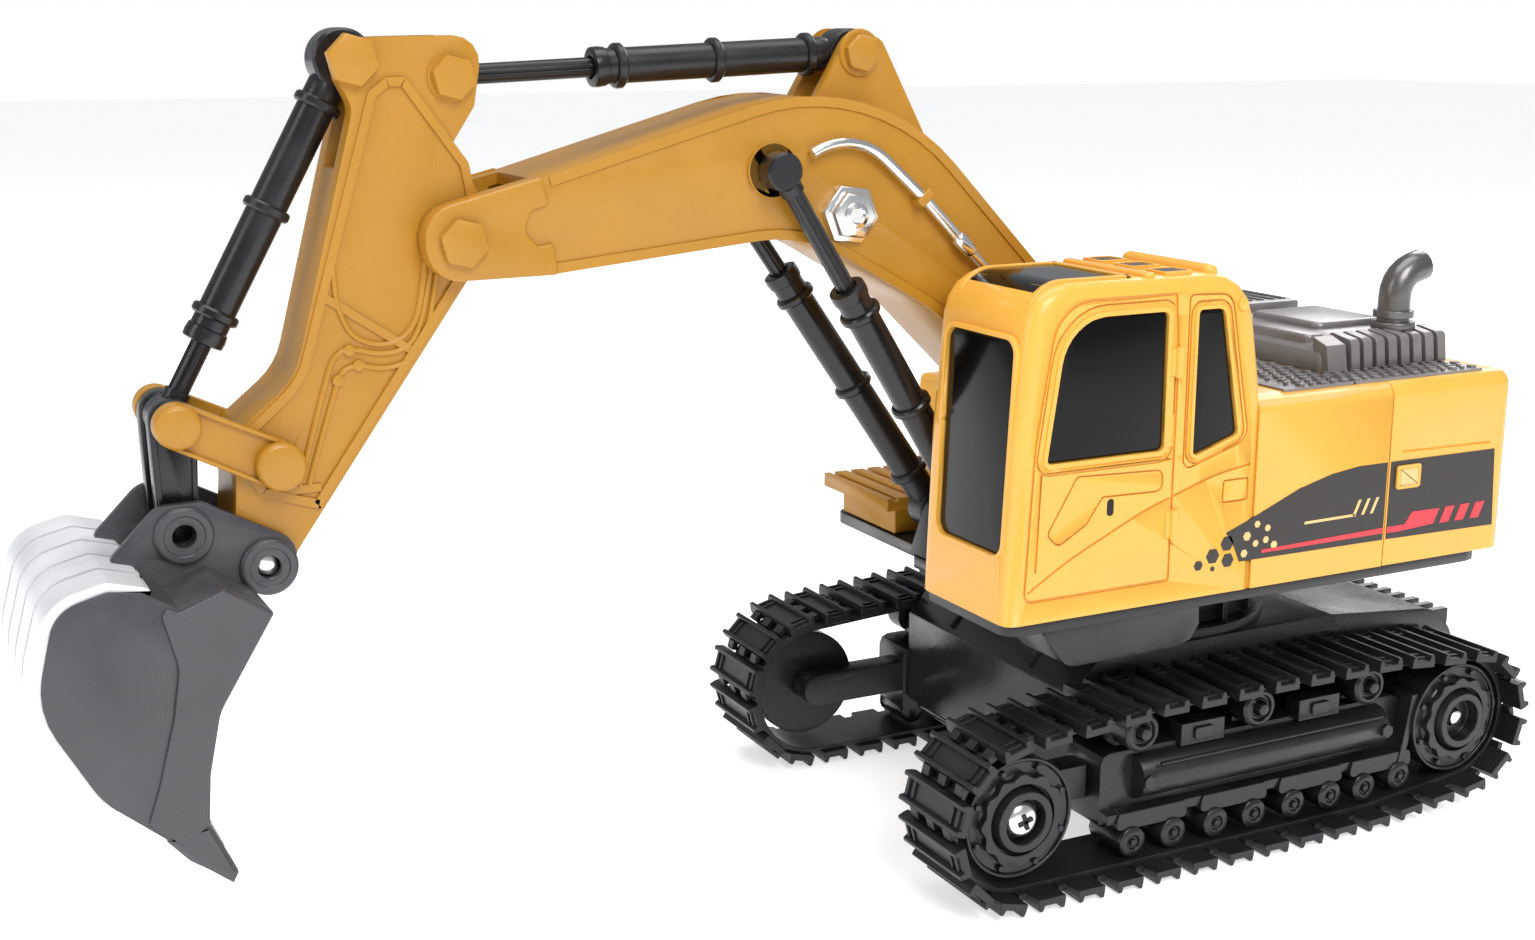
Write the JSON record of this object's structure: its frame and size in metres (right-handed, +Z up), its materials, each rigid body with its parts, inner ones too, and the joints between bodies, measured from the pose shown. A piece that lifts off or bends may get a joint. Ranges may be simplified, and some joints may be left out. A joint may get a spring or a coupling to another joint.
{
  "type": "rc excavator",
  "caption": "Radio-controlled tracked excavator with a slewing cab, gooseneck boom, stick, bucket and telescoping cylinders.",
  "frame": {"origin": "bottom centre of the whole model at rest, on the ground plane", "axes": "+X forward towards the bucket, +Y to the cab side, +Z up"},
  "size_m": [0.2774, 0.098, 0.1525],
  "materials": {
    "track_belt_left": "soft matt black",
    "track_belt_right": "soft matt black",
    "track_frame_left": "satin dark grey",
    "track_frame_right": "satin dark grey",
    "drive_motor_left": "bright",
    "drive_motor_right": "bright",
    "chassis_housing": "satin dark grey",
    "belly_plate": "satin dark grey",
    "slew_ring": "satin black",
    "drive_sprocket_left": "satin black",
    "drive_axle_left": "bright",
    "front_idler_left": "satin black",
    "idler_screw_left": "bright",
    "carrier_roller_left_1": "satin black",
    "carrier_roller_left_2": "satin black",
    "carrier_roller_left_3": "satin black",
    "drive_sprocket_right": "satin black",
    "drive_axle_right": "bright",
    "front_idler_right": "satin black",
    "idler_screw_right": "bright",
    "carrier_roller_right_1": "satin black",
    "carrier_roller_right_2": "satin black",
    "carrier_roller_right_3": "satin black",
    "upper_floor": "satin black",
    "upper_shell": "smooth moulded, warm yellow",
    "cab_glazing": "gloss black",
    "counterweight": "smooth moulded, warm yellow",
    "engine_hood": "satin grey",
    "exhaust_pipe": "satin grey",
    "side_step": "smooth moulded, warm yellow",
    "battery_pack": "wrapped cells",
    "circuit_board": "circuit board",
    "battery_cover": "satin black",
    "slew_motor": "bright",
    "boom_bracket": "satin black",
    "boom_foot_pin": "bright",
    "lift_foot_pin": "bright",
    "slew_pinion": "plain",
    "power_switch": "soft matt black",
    "boom": "smooth moulded, mustard yellow",
    "boom_pipe": "bright",
    "boom_bolt": "bright",
    "arm_ear_pin": "smooth moulded, mustard yellow",
    "stick_pivot_pin": "smooth moulded, mustard yellow",
    "lift_left_barrel": "satin black",
    "lift_left_rod": "satin black",
    "lift_right_barrel": "satin black",
    "lift_right_rod": "satin black",
    "stick": "smooth moulded, mustard yellow",
    "curl_ear_pin": "smooth moulded, mustard yellow",
    "rocker_foot_pin": "bright",
    "bucket_pin": "bright",
    "arm_barrel": "satin black",
    "arm_rod": "satin black",
    "rocker_link_left": "smooth moulded, mustard yellow",
    "rocker_link_right": "smooth moulded, mustard yellow",
    "push_link": "satin black",
    "bucket": "satin dark grey",
    "curl_barrel": "satin black",
    "curl_rod": "satin black"
  },
  "bodies": {
    "root": {"track_belt_left": "track_belt_left", "track_belt_right": "track_belt_right", "track_frame_left": "track_frame_left", "track_frame_right": "track_frame_right", "drive_motor_left": "drive_motor_left", "drive_motor_right": "drive_motor_right", "chassis_housing": "chassis_housing", "belly_plate": "belly_plate", "slew_ring": "slew_ring"},
    "sprocket_left": {"drive_sprocket_left": "drive_sprocket_left", "drive_axle_left": "drive_axle_left"},
    "idler_left": {"front_idler_left": "front_idler_left", "idler_screw_left": "idler_screw_left"},
    "carrier_left_1": {"carrier_roller_left_1": "carrier_roller_left_1"},
    "carrier_left_2": {"carrier_roller_left_2": "carrier_roller_left_2"},
    "carrier_left_3": {"carrier_roller_left_3": "carrier_roller_left_3"},
    "sprocket_right": {"drive_sprocket_right": "drive_sprocket_right", "drive_axle_right": "drive_axle_right"},
    "idler_right": {"front_idler_right": "front_idler_right", "idler_screw_right": "idler_screw_right"},
    "carrier_right_1": {"carrier_roller_right_1": "carrier_roller_right_1"},
    "carrier_right_2": {"carrier_roller_right_2": "carrier_roller_right_2"},
    "carrier_right_3": {"carrier_roller_right_3": "carrier_roller_right_3"},
    "upper": {"upper_floor": "upper_floor", "upper_shell": "upper_shell", "cab_glazing": "cab_glazing", "counterweight": "counterweight", "engine_hood": "engine_hood", "exhaust_pipe": "exhaust_pipe", "side_step": "side_step", "battery_pack": "battery_pack", "circuit_board": "circuit_board", "battery_cover": "battery_cover", "slew_motor": "slew_motor", "boom_bracket": "boom_bracket", "boom_foot_pin": "boom_foot_pin", "lift_foot_pin": "lift_foot_pin"},
    "pinion": {"slew_pinion": "slew_pinion"},
    "switch": {"power_switch": "power_switch"},
    "boom": {"boom": "boom", "boom_pipe": "boom_pipe", "boom_bolt": "boom_bolt", "arm_ear_pin": "arm_ear_pin", "stick_pivot_pin": "stick_pivot_pin"},
    "lift_left_barrel": {"lift_left_barrel": "lift_left_barrel"},
    "lift_left_rod": {"lift_left_rod": "lift_left_rod"},
    "lift_right_barrel": {"lift_right_barrel": "lift_right_barrel"},
    "lift_right_rod": {"lift_right_rod": "lift_right_rod"},
    "stick": {"stick": "stick", "curl_ear_pin": "curl_ear_pin", "rocker_foot_pin": "rocker_foot_pin", "bucket_pin": "bucket_pin"},
    "arm_barrel": {"arm_barrel": "arm_barrel"},
    "arm_rod": {"arm_rod": "arm_rod"},
    "rocker": {"rocker_link_left": "rocker_link_left", "rocker_link_right": "rocker_link_right"},
    "push_link": {"push_link": "push_link"},
    "bucket": {"bucket": "bucket"},
    "curl_barrel": {"curl_barrel": "curl_barrel"},
    "curl_rod": {"curl_rod": "curl_rod"}
  },
  "joints": [
    {"name": "sprocket_left_spin", "type": "hinge", "parent": "root", "child": "sprocket_left", "pos_m": [-0.12349, 0.041, 0.0176], "axis": [0, 1, 0], "continuous": true},
    {"name": "idler_left_spin", "type": "hinge", "parent": "root", "child": "idler_left", "pos_m": [-0.01849, 0.041, 0.0166], "axis": [0, 1, 0], "continuous": true},
    {"name": "carrier_left_1_spin", "type": "hinge", "parent": "root", "child": "carrier_left_1", "pos_m": [-0.04619, 0.041, 0.0273], "axis": [0, 1, 0], "continuous": true},
    {"name": "carrier_left_2_spin", "type": "hinge", "parent": "root", "child": "carrier_left_2", "pos_m": [-0.07369, 0.041, 0.0275], "axis": [0, 1, 0], "continuous": true},
    {"name": "carrier_left_3_spin", "type": "hinge", "parent": "root", "child": "carrier_left_3", "pos_m": [-0.10139, 0.041, 0.0273], "axis": [0, 1, 0], "continuous": true},
    {"name": "sprocket_right_spin", "type": "hinge", "parent": "root", "child": "sprocket_right", "pos_m": [-0.12349, -0.041, 0.0176], "axis": [0, 1, 0], "continuous": true},
    {"name": "idler_right_spin", "type": "hinge", "parent": "root", "child": "idler_right", "pos_m": [-0.01849, -0.041, 0.0166], "axis": [0, 1, 0], "continuous": true},
    {"name": "carrier_right_1_spin", "type": "hinge", "parent": "root", "child": "carrier_right_1", "pos_m": [-0.04619, -0.041, 0.0273], "axis": [0, 1, 0], "continuous": true},
    {"name": "carrier_right_2_spin", "type": "hinge", "parent": "root", "child": "carrier_right_2", "pos_m": [-0.07369, -0.041, 0.0275], "axis": [0, 1, 0], "continuous": true},
    {"name": "carrier_right_3_spin", "type": "hinge", "parent": "root", "child": "carrier_right_3", "pos_m": [-0.10139, -0.041, 0.0273], "axis": [0, 1, 0], "continuous": true},
    {"name": "slew", "type": "hinge", "parent": "root", "child": "upper", "pos_m": [-0.07299, 0, 0.0496], "axis": [0, 0, 1], "range_deg": [-170, 170]},
    {"name": "pinion_spin", "type": "hinge", "parent": "upper", "child": "pinion", "pos_m": [-0.08579, 0, 0.044], "axis": [0, 0, 1], "range_deg": [-520, 520]},
    {"name": "switch_slide", "type": "slide", "parent": "upper", "child": "switch", "axis": [1, 0, 0], "range_m": [0, 0.0025]},
    {"name": "boom_lift", "type": "hinge", "parent": "upper", "child": "boom", "pos_m": [-0.06099, 0, 0.076], "axis": [0, -1, 0], "range_deg": [-4, 20]},
    {"name": "lift_left_swing", "type": "hinge", "parent": "upper", "child": "lift_left_barrel", "pos_m": [-0.03199, 0.0085, 0.06], "axis": [0, -1, 0], "range_deg": [-6, 21]},
    {"name": "lift_left_stroke", "type": "slide", "parent": "lift_left_barrel", "child": "lift_left_rod", "axis": [0.5521, 0.0735, 0.8305], "range_m": [-0.004, 0.0125]},
    {"name": "lift_right_swing", "type": "hinge", "parent": "upper", "child": "lift_right_barrel", "pos_m": [-0.03199, -0.0085, 0.06], "axis": [0, -1, 0], "range_deg": [-6, 21]},
    {"name": "lift_right_stroke", "type": "slide", "parent": "lift_right_barrel", "child": "lift_right_rod", "axis": [0.5521, -0.0735, 0.8305], "range_m": [-0.004, 0.0125]},
    {"name": "stick_swing", "type": "hinge", "parent": "boom", "child": "stick", "pos_m": [0.06921, 0, 0.1193], "axis": [0, -1, 0], "range_deg": [-20, 20]},
    {"name": "arm_cylinder_swing", "type": "hinge", "parent": "boom", "child": "arm_barrel", "pos_m": [-0.00619, 0, 0.1483], "axis": [0, -1, 0], "range_deg": [-3, 3]},
    {"name": "arm_cylinder_stroke", "type": "slide", "parent": "arm_barrel", "child": "arm_rod", "axis": [0.999, 0, -0.0441], "range_m": [-0.0095, 0.0095]},
    {"name": "bucket_curl", "type": "hinge", "parent": "stick", "child": "bucket", "pos_m": [0.10221, 0, 0.0697], "axis": [0, -1, 0], "range_deg": [-30, 30]},
    {"name": "rocker_swing", "type": "hinge", "parent": "stick", "child": "rocker", "pos_m": [0.09951, 0, 0.0857], "axis": [0, -1, 0], "range_deg": [-26, 26]},
    {"name": "push_link_swing", "type": "hinge", "parent": "rocker", "child": "push_link", "pos_m": [0.11471, 0, 0.0934], "axis": [0, -1, 0], "range_deg": [-27, 27]},
    {"name": "curl_cylinder_swing", "type": "hinge", "parent": "stick", "child": "curl_barrel", "pos_m": [0.08451, 0, 0.1478], "axis": [0, -1, 0], "range_deg": [-2, 2]},
    {"name": "curl_cylinder_stroke", "type": "slide", "parent": "curl_barrel", "child": "curl_rod", "axis": [0.4854, 0, -0.8743], "range_m": [-0.0075, 0.0075]}
  ],
  "couplings": [
    {"joint": "idler_left_spin", "follows": "sprocket_left_spin", "ratio": 1},
    {"joint": "carrier_left_1_spin", "follows": "sprocket_left_spin", "ratio": 2.947},
    {"joint": "carrier_left_2_spin", "follows": "sprocket_left_spin", "ratio": 2.947},
    {"joint": "carrier_left_3_spin", "follows": "sprocket_left_spin", "ratio": 2.947},
    {"joint": "idler_right_spin", "follows": "sprocket_right_spin", "ratio": 1},
    {"joint": "carrier_right_1_spin", "follows": "sprocket_right_spin", "ratio": 2.947},
    {"joint": "carrier_right_2_spin", "follows": "sprocket_right_spin", "ratio": 2.947},
    {"joint": "carrier_right_3_spin", "follows": "sprocket_right_spin", "ratio": 2.947},
    {"joint": "pinion_spin", "follows": "slew", "ratio": -3},
    {"joint": "lift_left_swing", "follows": "boom_lift", "ratio": 0.98},
    {"joint": "lift_left_stroke", "follows": "boom_lift", "m_per_rad": 0.033},
    {"joint": "lift_right_swing", "follows": "boom_lift", "ratio": 0.98},
    {"joint": "lift_right_stroke", "follows": "boom_lift", "m_per_rad": 0.033},
    {"joint": "arm_cylinder_swing", "follows": "stick_swing", "ratio": -0.04},
    {"joint": "arm_cylinder_stroke", "follows": "stick_swing", "m_per_rad": -0.0253},
    {"joint": "rocker_swing", "follows": "bucket_curl", "ratio": 0.824},
    {"joint": "push_link_swing", "follows": "bucket_curl", "ratio": -0.841},
    {"joint": "curl_cylinder_swing", "follows": "bucket_curl", "ratio": 0.007},
    {"joint": "curl_cylinder_stroke", "follows": "bucket_curl", "m_per_rad": -0.01375}
  ]
}
